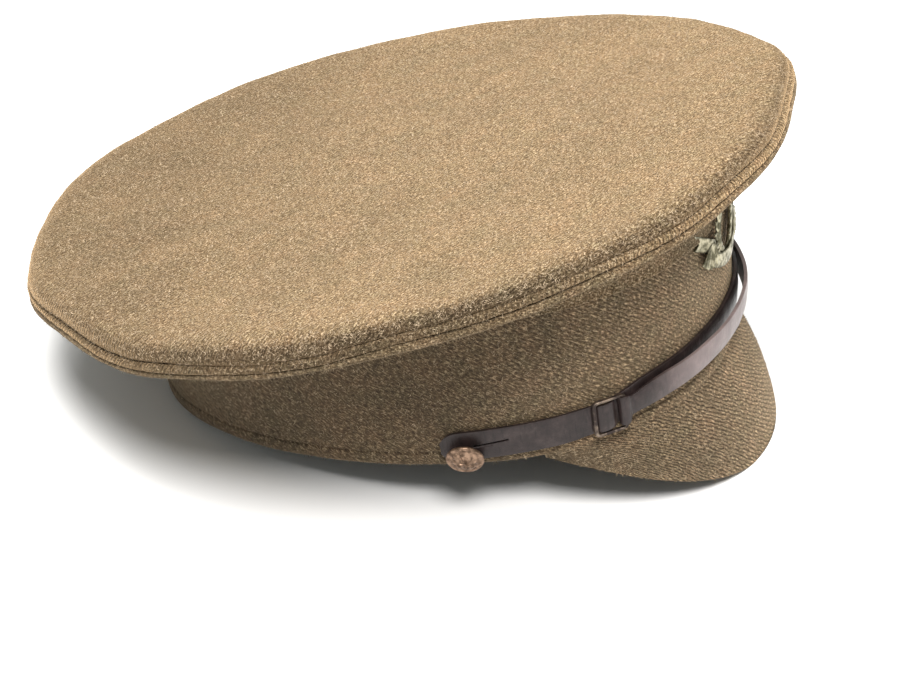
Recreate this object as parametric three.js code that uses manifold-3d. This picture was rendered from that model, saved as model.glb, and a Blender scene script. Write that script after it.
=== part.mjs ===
// A soft officer's service cap of khaki wool, with a cloth peak, a doubled leather strap
// held by a button and a slide on each side, and a metal badge at the front.
//
// Millimetres. The cap is built level: +X is the front, +Y the wearer's left, +Z up, and
// the middle of the band's lower edge lies at the origin. A last group tips it back until
// it stands on the lip of its peak and the back of its band, which lie flat where they touch.

import * as THREE from 'three';
import { mergeVertices } from 'three/addons/utils/BufferGeometryUtils.js';
import Module from 'manifold-3d';

// Driving sizes

const band = {
  halfLength: 108.4,   // to the outside of the cloth, front to back
  halfWidth: 85.5,
  height: 56.5,
  wall: 2.6,
  squareness: 0.028,   // how far the oval fills out its corners
  egg: 0.002,          // the front is that much rounder than the back
  flare: 3.2,          // the top edge stands out this much more than the hem
  hemHeight: 5,
  hemRise: 0.5,        // the turned-up hem stands proud of the band
};

// The strap has pressed the front of the band inwards, most at the hem
const frontPress = { angleDeg: 0, widthDeg: 26, atHem: 1.4, atMiddle: 0.2 };

const crown = {
  halfLength: 143,     // to the outside of the rim
  halfWidth: 131.6,
  forward: -6.6,       // the middle of the crown lies behind that of the band
  height: 69.5,        // from the band's lower edge to the seam round the rim
  tipDeg: 7.6,         // front edge raised
  leanDeg: 0.6,        // right edge raised
  saddle: 2.8,         // front and back of the rim stand up, its sides hang down
  wall: 2,
  topRise: 6.3,        // from the seam to the flat of the top
  sag: 2.2,            // the middle of the top sinks
  flatInset: 9,        // where the top starts to roll over the rim
  steps: 64,
};

// Section of the roll over the rim, measured from the rim seam
const rollOutside = [
  { outward: -0.9, up: 0 },
  { outward: -0.2, up: 1.3 },
  { outward: -0.6, up: 3.0 },
  { outward: -2.2, up: 4.7 },
  { outward: -5.2, up: 5.8 },
];
const rollInside = [
  { outward: -4.6, up: 3.2 },
  { outward: -3.0, up: 1.7 },
  { outward: -2.9, up: 0 },
];

// Rings of the flat of the top, as shares of the way to the rim
const flatRings = { inside: [0, 0.35, 0.7], outside: [0.92, 0.7, 0.35, 0] };

// Bends of the old rim: place round the crown, width, and how far it moves out and up there
const rimBends = [
  { angleDeg: 8, widthDeg: 8, out: -1, up: 0 },
  { angleDeg: 26, widthDeg: 9, out: 2.4, up: 0.4 },
  { angleDeg: 65, widthDeg: 22, out: -1.6, up: -0.8 },
  { angleDeg: 150, widthDeg: 14, out: -2, up: -0.6 },
  { angleDeg: -166, widthDeg: 10, out: -1.8, up: 0 },
  { angleDeg: -146, widthDeg: 8, out: 1.5, up: -0.6 },
  { angleDeg: -130, widthDeg: 7, out: -0.8, up: 0.4 },
  { angleDeg: -112, widthDeg: 9, out: 0.8, up: -1.2 },
  { angleDeg: -72, widthDeg: 10, out: -0.8, up: 1 },
  { angleDeg: -30, widthDeg: 10, out: 1.2, up: -0.8 },
];

// Stretches where the top cloth has crept down, so that the seam sits low on the rim
const seamDrops = [
  { angleDeg: -98, widthDeg: 24, drop: 2.6 },
  { angleDeg: -5, widthDeg: 12, drop: 2.4 },
];

const welt = { above: -0.45, below: -2.5, proud: 1, depth: 2.6, rounded: 0.7, flat: 0.8 };

const quarter = {
  wall: 1.6,
  rimTop: -3.6,        // edge of the cloth under the welt, measured from the rim seam
  rimUnder: -6.6,      // underside of the rim
  seamGap: 0.35,
  overhang: 1,         // the cloth bulges over the top of the band
  climb: 0.45,         // share of its height over which it rises steeply
  flat: 0.36,          // share of its length over which it runs flat under the rim
  rows: 9,
};

// The last rows of a quarter, where it turns up round the rim
const rimTurn = [
  { outward: -4.2, up: quarter.rimUnder },
  { outward: -1.2, up: quarter.rimUnder + 0.2 },
  { outward: 0.6, up: quarter.rimUnder + 1.4 },
  { outward: 0.9, up: quarter.rimTop },
];

const quarters = [
  { name: 'quarter_front_left', fromDeg: 0, toDeg: 90 },
  { name: 'quarter_back_left', fromDeg: 90, toDeg: 180 },
  { name: 'quarter_back_right', fromDeg: 180, toDeg: 270 },
  { name: 'quarter_front_right', fromDeg: 270, toDeg: 360 },
];

const peak = {
  halfSpanDeg: 56,
  depth: 39,
  slopeDeg: 72.5,
  wall: 3,
  lipWall: 2.4,
  seamOut: 0.6,        // its seam lies that far outside the band
  fullness: 1.4,
  cornerDepth: 2.2,
  cornerEnd: 0.4,      // the corners run out to a thin edge
  belly: 2.2,          // the peak bows outwards between its seam and its lip
  steps: 30,
  rows: 5,
};

const rest = { flattened: 1.2 };   // how much cloth the floor presses flat

const strap = {
  width: 11.4,
  wall: 1.5,
  step: 3.6,
  clear: 0.35,         // gap between leather and what lies under it
  squeeze: 1,          // narrower by that much inside the slides
  squeezeDeg: 5,
  frontLean: 0.9,      // across the front the outer strap's top edge leans out
  leanWidthDeg: 16,
  endDeg: 75.5,
};

// How high the middle of the straps runs above the band's lower edge, from the front
// round to the buttons
const strapHeights = [
  { angleDeg: 0, middle: 17.2 },
  { angleDeg: 16, middle: 17.1 },
  { angleDeg: 24, middle: 16.2 },
  { angleDeg: 31, middle: 15.5 },
  { angleDeg: 36, middle: 14.3 },
  { angleDeg: 40, middle: 12.3 },
  { angleDeg: 43, middle: 11.4 },
  { angleDeg: 46, middle: 10.8 },
  { angleDeg: 52, middle: 9.8 },
  { angleDeg: 64, middle: 9 },
  { angleDeg: 80, middle: 7.2 },
];

// The slit through which the button was pushed: it rises from the button towards the front
const slitCut = { length: 10, width: 0.9, fromButtonDeg: 3.2, riseShare: 0.56, tiltDeg: 18 };

const slide = {
  angleDeg: 43,
  width: 12.5,
  height: 14.4,
  sideBar: 1.8,
  rail: 1,             // its bars above and below the strap
  thickness: 1.7,
  corner: 2,
};

const button = {
  angleDeg: 70.2, radius: 6.8, rise: 5.9, droopDeg: 19.5, standOff: 3.25, sides: 20,
};

// Section of a button from the shank at its back, round the rolled rim, to the top of the dome
const buttonSection = [
  { radius: 0, height: 0 },
  { radius: 1.6, height: 0 },
  { radius: 1.6, height: 0.9 },
  { radius: button.radius - 1.2, height: 1 },
  { radius: button.radius - 0.2, height: 1.5 },
  { radius: button.radius, height: 2.2 },
  { radius: button.radius - 0.5, height: 2.9 },
  { radius: button.radius - 1.3, height: 2.9 },
  { radius: button.radius - 1.8, height: 2.7 },
  { radius: button.radius * 0.5, height: 3.8 },
  { radius: button.radius * 0.22, height: 4.3 },
  { radius: 0, height: 4.4 },
];

const badge = {
  rise: 54.5, leanDeg: 8, standOff: 2.5, halfWidth: 21, halfHeight: 16.5, wall: 1.4, bendRadius: 70,
};
const wreath = { ringWidth: 2.4, inset: 5.2, fromAngle: -1.25, toAngle: 1.3, leaves: 6, stagger: 0.02 };
const leaf = { length: 11.5, width: 3.6, proud: 0.5, heading: 0.9, edge: 0.4 };
const ribbon = { width: 17, height: 5.6, corner: 1.2, proud: 0.7, rise: 2.6 };

const gap = 0.3;

// Colours, roughness and metalness

const khaki = { color: 0x7d6a4b, roughness: 0.95, metalness: 0 };
const khakiShade = { color: 0x6b5b41, roughness: 0.95, metalness: 0 };
const brownLeather = { color: 0x3a2a2a, roughness: 0.45, metalness: 0 };
const brownedMetal = { color: 0x3b3030, roughness: 0.4, metalness: 0.7 };
const bronze = { color: 0x8a6244, roughness: 0.5, metalness: 0.85 };
const paleBrass = { color: 0x9b9a80, roughness: 0.4, metalness: 0.9 };

const wasm = await Module();
wasm.setup();

const turn = 2 * Math.PI;
const rad = THREE.MathUtils.degToRad;
const lerp = THREE.MathUtils.lerp;
const smooth = (x) => THREE.MathUtils.smoothstep(x, 0, 1);

// Helpers for meshes

function weld(geometry) {
  const bare = geometry.clone();
  bare.deleteAttribute('normal');
  bare.deleteAttribute('uv');
  const whole = mergeVertices(bare, 1e-4);
  const index = whole.index.array;
  const kept = [];
  for (let i = 0; i < index.length; i += 3) {
    const [a, b, c] = [index[i], index[i + 1], index[i + 2]];
    if (a !== b && b !== c && c !== a) kept.push(a, b, c);
  }
  whole.setIndex(kept);
  return whole;
}

function toSolid(geometry) {
  const whole = weld(geometry);
  return new wasm.Manifold(new wasm.Mesh({
    numProp: 3,
    vertProperties: new Float32Array(whole.attributes.position.array),
    triVerts: new Uint32Array(whole.index.array),
  }));
}

function fromSolid(solid) {
  const mesh = solid.getMesh();
  const geometry = new THREE.BufferGeometry();
  geometry.setAttribute('position', new THREE.BufferAttribute(mesh.vertProperties, 3));
  geometry.setIndex(new THREE.BufferAttribute(mesh.triVerts, 1));
  return geometry;
}

function piece(name, geometry, finish) {
  const whole = weld(geometry);
  whole.computeVertexNormals();
  const mesh = new THREE.Mesh(whole, new THREE.MeshStandardMaterial(finish));
  mesh.name = name;
  return mesh;
}

// A sheet with thickness: a box whose length, height and depth become the way along the
// sheet, the way across it and the way through it. face(s, t) gives its outer side.
function sheet(steps, rows, wall, face) {
  const geometry = new THREE.BoxGeometry(1, 1, 1, steps, rows, 1);
  const position = geometry.attributes.position;
  const d = 1e-3;
  for (let i = 0; i < position.count; i++) {
    const s = position.getX(i) + 0.5;
    const t = position.getY(i) + 0.5;
    const through = 0.5 - position.getZ(i);
    const point = face(s, t);
    const along = face(s + d, t).sub(face(s - d, t));
    const across = face(s, t + d).sub(face(s, t - d));
    const normal = along.cross(across).normalize();
    const thickness = typeof wall === 'function' ? wall(s, t) : wall;
    point.addScaledVector(normal, -thickness * through);
    position.setXYZ(i, point.x, point.y, point.z);
  }
  return geometry;
}

// A section carried once round the cap: place(angle, row) gives the point of each of its rows
function swept(section, steps, place) {
  const outline = section.map(({ outward, up }) => new THREE.Vector2(outward, up));
  const geometry = new THREE.LatheGeometry(outline, steps);
  const position = geometry.attributes.position;
  for (let i = 0; i <= steps; i++) {
    const angle = ((i % steps) * turn) / steps;
    for (let j = 0; j < section.length; j++) {
      const point = place(angle, section[j]);
      position.setXYZ(i * section.length + j, point.x, point.y, point.z);
    }
  }
  return geometry;
}

function ring(section, steps, place) {
  return swept([...section, section[0]], steps, place);
}

// The two ovals that everything is measured from

function bandPlan(angle) {
  const filled = 1 + (band.squareness * (1 - Math.cos(4 * angle))) / 2;
  const egg = 1 - band.egg * Math.cos(3 * angle);
  const x = band.halfLength * filled * egg * Math.cos(angle);
  const y = band.halfWidth * filled * egg * Math.sin(angle);
  return new THREE.Vector2(x, y);
}

function bandOutward(angle) {
  const d = 1e-3;
  const along = bandPlan(angle + d).sub(bandPlan(angle - d)).normalize();
  return new THREE.Vector2(along.y, -along.x);
}

// How far the strap has pressed the band in
function pressedIn(angle, height) {
  const middle = band.height / 2;
  const { atHem, atMiddle } = frontPress;
  const low = THREE.MathUtils.clamp((height - band.hemHeight) / (middle - band.hemHeight), 0, 1);
  const high = THREE.MathUtils.clamp(height / middle - 1, 0, 1);
  return lerp(lerp(atHem, atMiddle, low), 0, high) * shareOf(frontPress, angle);
}

function onBand(angle, outward, height) {
  const flared = outward + (band.flare * height) / band.height - pressedIn(angle, height);
  const point = bandPlan(angle).addScaledVector(bandOutward(angle), flared);
  return new THREE.Vector3(point.x, point.y, height);
}

// 1 in the middle of a row of a table, falling off to 0 on both sides
function shareOf(row, angle) {
  const away = angle - rad(row.angleDeg);
  const shortest = Math.atan2(Math.sin(away), Math.cos(away));
  return Math.exp(-((shortest / rad(row.widthDeg)) ** 2));
}

function rimBend(angle) {
  const sum = { out: 0, up: 0, drop: 0 };
  for (const bend of rimBends) {
    sum.out += bend.out * shareOf(bend, angle);
    sum.up += bend.up * shareOf(bend, angle);
  }
  for (const seam of seamDrops) sum.drop += seam.drop * shareOf(seam, angle);
  return sum;
}

// reach is 1 at the rim and 0 in the middle of the crown; outward and up are from its seam
function onCrown(angle, reach, outward, up) {
  const bend = rimBend(angle);
  const out = outward + bend.out;
  const x = reach * (crown.halfLength + out) * Math.cos(angle);
  const y = reach * (crown.halfWidth + out) * Math.sin(angle);
  const wave = crown.saddle * Math.cos(2 * angle) + bend.up;
  const nearSeam = Math.max(0, 1 - Math.abs(up) / -quarter.rimUnder);
  const z = up + reach * reach * (wave - bend.drop * nearSeam);
  return new THREE.Vector3(x, y, z)
    .applyAxisAngle(new THREE.Vector3(0, 1, 0), -rad(crown.tipDeg))
    .applyAxisAngle(new THREE.Vector3(1, 0, 0), -rad(crown.leanDeg))
    .add(new THREE.Vector3(crown.forward, 0, crown.height));
}

// How the cap stands: the plane that touches the lip of the peak and the back of the band

function peakLip(angle) {
  return peakFace(angle / rad(2 * peak.halfSpanDeg) + 0.5, 0);
}

function peakFace(s, t) {
  const angle = (s - 0.5) * rad(2 * peak.halfSpanDeg);
  const side = Math.min(1, Math.abs(2 * s - 1));
  const full = Math.pow(1 - side * side, peak.fullness);
  const corner = lerp(peak.cornerDepth, peak.cornerEnd, Math.pow(side, 24));
  const depth = lerp(corner, peak.depth, full);
  const down = (1 - t) * depth;
  const slope = rad(peak.slopeDeg);
  const bow = peak.belly * full * Math.sin(Math.PI * (1 - t));
  const seamOut = peak.seamOut - t * pressedIn(angle, 0);
  const outward = seamOut + down * Math.cos(slope) + bow * Math.sin(slope);
  const height = -gap - down * Math.sin(slope) + bow * Math.cos(slope);
  const plan = bandPlan(angle).addScaledVector(bandOutward(angle), outward);
  return new THREE.Vector3(plan.x, plan.y, height);
}

const heel = onBand(Math.PI, band.hemRise, 0);
const lip = peakLip(0);
const restTip = Math.atan2(heel.z - lip.z, lip.x - heel.x);
const floorNormal = new THREE.Vector3(Math.sin(restTip), 0, Math.cos(restTip));
const floorHeight = floorNormal.dot(heel) + rest.flattened;

function pressFlat(geometry) {
  const position = geometry.attributes.position;
  const point = new THREE.Vector3();
  for (let i = 0; i < position.count; i++) {
    point.fromBufferAttribute(position, i);
    const below = floorHeight - floorNormal.dot(point);
    if (below > 0) point.addScaledVector(floorNormal, below);
    position.setXYZ(i, point.x, point.y, point.z);
  }
  return geometry;
}

// The crown's top cloth rolls over the rim and ends in the seam

function crownTop() {
  const flatRow = (reach, height) => {
    return { reach, outward: -crown.flatInset, up: height - crown.sag * (1 - reach * reach) };
  };
  const underside = crown.topRise - crown.wall;
  const section = [
    ...flatRings.inside.map((reach) => flatRow(reach, underside)),
    flatRow(1, underside),
    ...rollInside,
    ...rollOutside,
    flatRow(1, crown.topRise),
    ...flatRings.outside.map((reach) => flatRow(reach, crown.topRise)),
  ];
  return swept(section, crown.steps, (angle, row) => {
    return onCrown(angle, row.reach ?? 1, row.outward, row.up);
  });
}

// A bead of cloth sewn into the rim seam
function crownWelt() {
  const middle = (welt.above + welt.below) / 2;
  const root = welt.proud - welt.depth;
  const section = [
    { outward: root, up: welt.below },
    { outward: welt.proud - welt.rounded, up: welt.below },
    { outward: welt.proud, up: middle - welt.flat / 2 },
    { outward: welt.proud, up: middle + welt.flat / 2 },
    { outward: welt.proud - welt.rounded, up: welt.above },
    { outward: root, up: welt.above },
  ];
  return ring(section, crown.steps, (angle, row) => onCrown(angle, 1, row.outward, row.up));
}

// The quarters climb from the band to the underside of the rim and turn up at its edge

function quarterLine(angle) {
  const turnUp = rimTurn[0];
  const foot = onBand(angle, quarter.overhang, band.height + gap);
  const under = onCrown(angle, 1, turnUp.outward, turnUp.up);
  const inward = onCrown(angle, 1, turnUp.outward - 12, turnUp.up).sub(under).normalize();
  const climb = Math.max(2, quarter.climb * (under.z - foot.z));
  const lift = foot.clone().add(new THREE.Vector3(0, 0, climb));
  const flat = under.clone().addScaledVector(inward, under.distanceTo(foot) * quarter.flat);
  return new THREE.CubicBezierCurve3(foot, lift, flat, under);
}

function quarterFace(angle, t) {
  const rimShare = rimTurn.length - 1;
  const row = t * quarter.rows;
  const turned = row - (quarter.rows - rimShare);
  if (turned <= 0) return quarterLine(angle).getPoint(row / (quarter.rows - rimShare));
  const low = Math.min(Math.floor(turned), rimShare - 1);
  const part = turned - low;
  const outward = lerp(rimTurn[low].outward, rimTurn[low + 1].outward, part);
  const up = lerp(rimTurn[low].up, rimTurn[low + 1].up, part);
  return onCrown(angle, 1, outward, up);
}

function quarterPanel(fromDeg, toDeg) {
  const seam = quarter.seamGap / 2 / crown.halfWidth;
  const from = rad(fromDeg) + seam;
  const to = rad(toDeg) - seam;
  const face = (s, t) => quarterFace(lerp(from, to, s), t);
  return sheet(crown.steps / 4, quarter.rows, quarter.wall, face);
}

// The band is one strip with its hem turned up inside and a seam at the back

function bandStrip() {
  const { wall, height, hemHeight, hemRise } = band;
  const section = [
    { outward: -wall, up: 0 },
    { outward: hemRise - 0.5, up: 0 },
    { outward: hemRise, up: 0.8 },
    { outward: hemRise, up: hemHeight - 0.6 },
    { outward: 0, up: hemHeight },
    { outward: 0, up: height / 2 },
    { outward: 0, up: height },
    { outward: -wall, up: height },
    { outward: -wall, up: height / 2 },
    { outward: -wall, up: hemHeight },
  ];
  return pressFlat(ring(section, crown.steps, (angle, row) => onBand(angle, row.outward, row.up)));
}

function peakShell() {
  const wall = (s, t) => (t === 0 ? peak.lipWall : peak.wall);
  return pressFlat(sheet(peak.steps, peak.rows, wall, peakFace));
}

// The straps follow the band. A place along one is its angle round the band and how far
// its middle stands off the cloth.

const middleCurve = new THREE.CubicInterpolant(
  strapHeights.map(({ angleDeg }) => angleDeg),
  strapHeights.map(({ middle }) => middle),
  1,
);

function strapMiddle(angle) {
  return middleCurve.evaluate(Math.abs(THREE.MathUtils.radToDeg(angle)))[0];
}

function strapWidth(angle) {
  const atSlide = { angleDeg: slide.angleDeg, widthDeg: strap.squeezeDeg };
  return strap.width - strap.squeeze * shareOf(atSlide, Math.abs(angle));
}

function strapBand(route, lean) {
  const scale = band.halfLength;
  const spots = route.map(({ angleDeg, off }) => new THREE.Vector3(rad(angleDeg) * scale, off, 0));
  const curve = new THREE.CatmullRomCurve3(spots, false, 'centripetal');
  const steps = Math.round(curve.getLength() / strap.step);
  const leanAt = { angleDeg: 0, widthDeg: strap.leanWidthDeg };
  const centre = (s, t) => {
    const at = curve.getPointAt(THREE.MathUtils.clamp(s, 0, 1));
    const angle = at.x / scale;
    const across = t - 0.5;
    const off = at.y + across * lean * shareOf(leanAt, angle);
    return onBand(angle, off, strapMiddle(angle) + across * strapWidth(angle));
  };
  const geometry = new THREE.BoxGeometry(1, 1, 1, steps, 2, 1);
  const position = geometry.attributes.position;
  const up = new THREE.Vector3(0, 0, 1);
  const d = 1e-3;
  for (let i = 0; i < position.count; i++) {
    const s = position.getX(i) + 0.5;
    const t = position.getY(i) + 0.5;
    const normal = centre(s + d, t).sub(centre(s - d, t)).cross(up).normalize();
    const point = centre(s, t).addScaledVector(normal, position.getZ(i) * strap.wall);
    position.setXYZ(i, point.x, point.y, point.z);
  }
  return geometry;
}

const inner = band.hemRise + strap.clear + strap.wall / 2;
const outer = inner + strap.wall + strap.clear;
const slideSeat = outer - strap.wall / 2 + strap.clear;
const flareLean = THREE.MathUtils.radToDeg(Math.atan2(band.flare, band.height));
const overBar = slideSeat + slide.thickness + strap.clear + strap.wall / 2;

// The inner strap comes from the right button, runs under the right slide and the outer
// strap and ends under the front bar of the left slide.
function innerStrap() {
  const route = [
    { angleDeg: -strap.endDeg, off: inner },
    { angleDeg: -60, off: inner },
    { angleDeg: -40, off: inner },
    { angleDeg: -20, off: inner },
    { angleDeg: 0, off: inner },
    { angleDeg: 20, off: inner },
    { angleDeg: 40.6, off: inner },
  ];
  return strapBand(route, 0);
}

// The outer strap comes from the left button under the back bar of the left slide and over
// its front bar, stands off a little across the front and is folded over the front bar of
// the right slide.
function outerStrap() {
  const route = [
    { angleDeg: -42.3, off: outer + 1.1 },
    { angleDeg: -41.1, off: overBar },
    { angleDeg: -38.5, off: overBar },
    { angleDeg: -35.2, off: outer + 1.3 },
    { angleDeg: -30, off: outer + 0.9 },
    { angleDeg: -22, off: outer + 1.2 },
    { angleDeg: -12, off: outer + 1.6 },
    { angleDeg: 0, off: outer + 1.5 },
    { angleDeg: 12, off: outer + 0.9 },
    { angleDeg: 22, off: outer + 0.4 },
    { angleDeg: 31, off: outer + 0.4 },
    { angleDeg: 35.4, off: outer + 1.3 },
    { angleDeg: 38.4, off: overBar },
    { angleDeg: 41.0, off: overBar },
    { angleDeg: 43.2, off: outer },
    { angleDeg: 45.2, off: inner + 0.15 },
    { angleDeg: 48, off: inner + 0.1 },
    { angleDeg: 60, off: inner + 0.05 },
    { angleDeg: strap.endDeg, off: inner },
  ];
  return strapBand(route, strap.frontLean);
}

function slit(geometry, side) {
  const angle = side * rad(button.angleDeg - slitCut.fromButtonDeg);
  const cutter = new THREE.BoxGeometry(slitCut.length, 8 * strap.wall, slitCut.width);
  const outward = bandOutward(angle);
  const place = onBand(angle, inner, strapMiddle(angle) + strap.width * (slitCut.riseShare - 0.5));
  cutter.rotateY(side * rad(slitCut.tiltDeg));
  cutter.rotateZ(Math.atan2(outward.y, outward.x) + Math.PI / 2);
  cutter.translate(place.x, place.y, place.z);
  return fromSolid(toSolid(geometry).subtract(toSolid(cutter)));
}

// Slides, buttons and badge are made flat, facing +Z, and then set on the band

function setOn(mesh, angle, standOff, rise, leanDeg) {
  const outward = bandOutward(angle);
  const holder = new THREE.Group();
  const place = onBand(angle, standOff, rise);
  holder.position.copy(place);
  holder.rotation.set(0, 0, Math.atan2(outward.y, outward.x));
  const face = new THREE.Group();
  face.rotation.set(0, rad(90 + leanDeg), 0);
  const upright = new THREE.Group();
  upright.rotation.set(0, 0, Math.PI / 2);
  upright.add(mesh);
  face.add(upright);
  holder.add(face);
  return holder;
}

function roundedFrame(width, height, corner) {
  const outline = new THREE.Shape();
  const x = width / 2;
  const y = height / 2;
  outline.moveTo(-x + corner, -y);
  outline.lineTo(x - corner, -y);
  outline.absarc(x - corner, -y + corner, corner, -Math.PI / 2, 0, false);
  outline.absarc(x - corner, y - corner, corner, 0, Math.PI / 2, false);
  outline.absarc(-x + corner, y - corner, corner, Math.PI / 2, Math.PI, false);
  outline.absarc(-x + corner, -y + corner, corner, Math.PI, 1.5 * Math.PI, false);
  return outline;
}

function slideFrame() {
  const outline = roundedFrame(slide.width, slide.height, slide.corner);
  const hole = roundedFrame(slide.width - 2 * slide.sideBar, slide.height - 2 * slide.rail, 0.6);
  outline.holes.push(hole);
  return new THREE.ExtrudeGeometry(outline, {
    depth: slide.thickness - 0.8,
    bevelEnabled: true,
    bevelThickness: 0.4,
    bevelSize: 0.4,
    bevelOffset: -0.4,
    bevelSegments: 1,
    curveSegments: 3,
  });
}

function domedButton() {
  const outline = buttonSection.map(({ radius, height }) => new THREE.Vector2(radius, height));
  return new THREE.LatheGeometry(outline, button.sides).rotateX(Math.PI / 2);
}

// A wreath of leaves on an oval ring with an open middle, tied at the foot with a blank ribbon

// Bends a flat part round an upright axis behind it, as the badge follows the band
function bendRound(geometry, radius) {
  const position = geometry.attributes.position;
  for (let i = 0; i < position.count; i++) {
    const around = position.getX(i) / radius;
    const out = radius + position.getZ(i);
    position.setX(i, out * Math.sin(around));
    position.setZ(i, out * Math.cos(around) - radius);
  }
  return geometry;
}

function ovalRing(halfWidth, halfHeight, width, depth) {
  const outline = new THREE.Shape();
  outline.absellipse(0, 0, halfWidth, halfHeight, 0, turn, false, 0);
  const hole = new THREE.Path();
  hole.absellipse(0, 0, halfWidth - width, halfHeight - width, 0, turn, true, 0);
  outline.holes.push(hole);
  return new THREE.ExtrudeGeometry(outline, { depth, bevelEnabled: false, curveSegments: 16 });
}

function leafBlade() {
  const { length, width, edge } = leaf;
  const outline = new THREE.Shape();
  outline.moveTo(-length * 0.4, 0);
  outline.quadraticCurveTo(0, -width, length * 0.6, 0);
  outline.quadraticCurveTo(0, width, -length * 0.4, 0);
  return new THREE.ExtrudeGeometry(outline, {
    depth: badge.wall + leaf.proud - edge,
    bevelEnabled: true,
    bevelThickness: edge,
    bevelSize: edge,
    bevelOffset: -edge,
    bevelSegments: 1,
    curveSegments: 2,
  });
}

function wreathBadge() {
  const { halfWidth, halfHeight, wall } = badge;
  const across = halfWidth - wreath.inset;
  const upright = halfHeight - wreath.inset + 1;
  let solid = toSolid(ovalRing(across, upright, wreath.ringWidth, wall));
  for (const side of ['right', 'left']) {
    for (let i = 0; i < wreath.leaves; i++) {
      const around = lerp(wreath.fromAngle, wreath.toAngle, i / (wreath.leaves - 1));
      const blade = leafBlade();
      blade.rotateZ(around + leaf.heading);
      blade.translate(across * Math.cos(around), upright * Math.sin(around), wreath.stagger * (i + 1));
      if (side === 'left') blade.rotateY(Math.PI).translate(0, 0, wall + leaf.proud + leaf.edge);
      solid = solid.add(toSolid(blade));
    }
  }
  const outline = roundedFrame(ribbon.width, ribbon.height, ribbon.corner);
  const knot = new THREE.ExtrudeGeometry(outline, {
    depth: wall + ribbon.proud,
    bevelEnabled: false,
    curveSegments: 3,
  });
  knot.translate(0, -halfHeight + ribbon.rise, 0);
  return bendRound(fromSolid(solid.add(toSolid(knot))), badge.bendRadius);
}

// Assembly

const cap = new THREE.Group();
cap.add(piece('crown_top', crownTop(), khaki));
cap.add(piece('crown_welt', crownWelt(), khaki));

for (const { name, fromDeg, toDeg } of quarters) {
  cap.add(piece(name, quarterPanel(fromDeg, toDeg), khakiShade));
}
cap.add(piece('band', bandStrip(), khakiShade));
cap.add(piece('peak', peakShell(), khaki));
cap.add(piece('strap_inner', slit(innerStrap(), -1), brownLeather));
cap.add(piece('strap_outer', slit(outerStrap(), 1), brownLeather));

for (const [name, side] of [['right', -1], ['left', 1]]) {
  const slideMesh = piece(`slide_${name}`, slideFrame(), brownedMetal);
  const slideAngle = side * rad(slide.angleDeg);
  cap.add(setOn(slideMesh, slideAngle, slideSeat, strapMiddle(slideAngle), flareLean));
  const buttonMesh = piece(`button_${name}`, domedButton(), bronze);
  cap.add(setOn(buttonMesh, side * rad(button.angleDeg), button.standOff, button.rise, button.droopDeg));
}

const badgeMesh = piece('badge', wreathBadge(), paleBrass);
cap.add(setOn(badgeMesh, 0, badge.standOff, badge.rise, badge.leanDeg));

// Standing on its own: tipped back, with the middle of its outline over the origin
const hat = new THREE.Group();
cap.rotation.set(0, -restTip, 0);
hat.add(cap);
hat.updateMatrixWorld(true);
const extent = new THREE.Box3().setFromObject(hat, true);
const middle = extent.getCenter(new THREE.Vector3());
cap.position.set(-middle.x, -middle.y, -extent.min.z);

export default hat;
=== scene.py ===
import math

import bpy
import numpy as np
from mathutils import Matrix, Vector, noise


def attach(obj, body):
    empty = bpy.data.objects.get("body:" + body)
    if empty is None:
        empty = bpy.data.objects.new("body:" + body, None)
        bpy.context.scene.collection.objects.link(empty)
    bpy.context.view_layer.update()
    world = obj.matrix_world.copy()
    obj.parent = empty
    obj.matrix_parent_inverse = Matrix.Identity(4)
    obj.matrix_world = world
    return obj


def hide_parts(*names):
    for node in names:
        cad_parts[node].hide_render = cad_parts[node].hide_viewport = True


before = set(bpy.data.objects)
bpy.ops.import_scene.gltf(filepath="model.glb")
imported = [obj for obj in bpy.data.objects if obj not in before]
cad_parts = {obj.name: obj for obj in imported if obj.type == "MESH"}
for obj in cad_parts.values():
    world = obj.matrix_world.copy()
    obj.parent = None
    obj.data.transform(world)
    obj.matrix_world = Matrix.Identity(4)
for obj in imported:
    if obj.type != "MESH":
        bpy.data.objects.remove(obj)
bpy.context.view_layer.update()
print("frame loaded")

# A soft khaki service cap. Everything is shaped level, in metres, with +X the front and
# +Y the wearer's left, and stand() then tips it back onto its heel and the lip of its peak.

restPose = {"tip": math.radians(9.27376), "shift": (0.015387, 0.000259, 0.016384)}

bandSize = {
    "halfLength": 0.1084, "halfWidth": 0.0855, "height": 0.0565,
    "squareness": 0.028, "egg": 0.002, "flare": 0.0032, "hemHeight": 0.005,
}
frontPress = {  # the strap has pressed the front in, and the front is drawn back above it
    "width": 26, "atHem": 0.0014, "atMiddle": 0.0002,
    "drawn": 0.0011, "drawnWidth": 34, "fullHeight": 0.018,
}

crownSize = {
    "halfLength": 0.143, "halfWidth": 0.1316, "forward": -0.0066, "height": 0.0695,
    "tip": math.radians(7.6), "lean": math.radians(0.6), "saddle": 0.0028,
    "rimUnder": -0.0066,
}

rimBends = [  # place round the crown in degrees, its width, and how far the rim moves out and up
    (8, 8, -0.001, 0), (26, 9, 0.0024, 0.0004), (65, 22, -0.0016, -0.0008),
    (150, 14, -0.002, -0.0006), (-166, 10, -0.0018, 0), (-146, 8, 0.0015, -0.0006),
    (-130, 7, -0.0008, 0.0004), (-112, 9, 0.0008, -0.0012), (-72, 10, -0.0008, 0.001),
    (-30, 10, 0.0012, -0.0008),
]
seamDrops = [  # place and width in the same way, and how low the rim seam sits there
    (-98, 24, 0.0026), (-5, 12, 0.0024), (-119, 7, 0.0015), (-130, 9, 0.0010), (-62, 16, -0.0007),
    (-83, 5, 0.0004), (-44, 6, -0.0005), (-27, 6, 0.0005),
]


def smooth(x):
    x = np.clip(x, 0, 1)
    return x * x * (3 - 2 * x)


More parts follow.
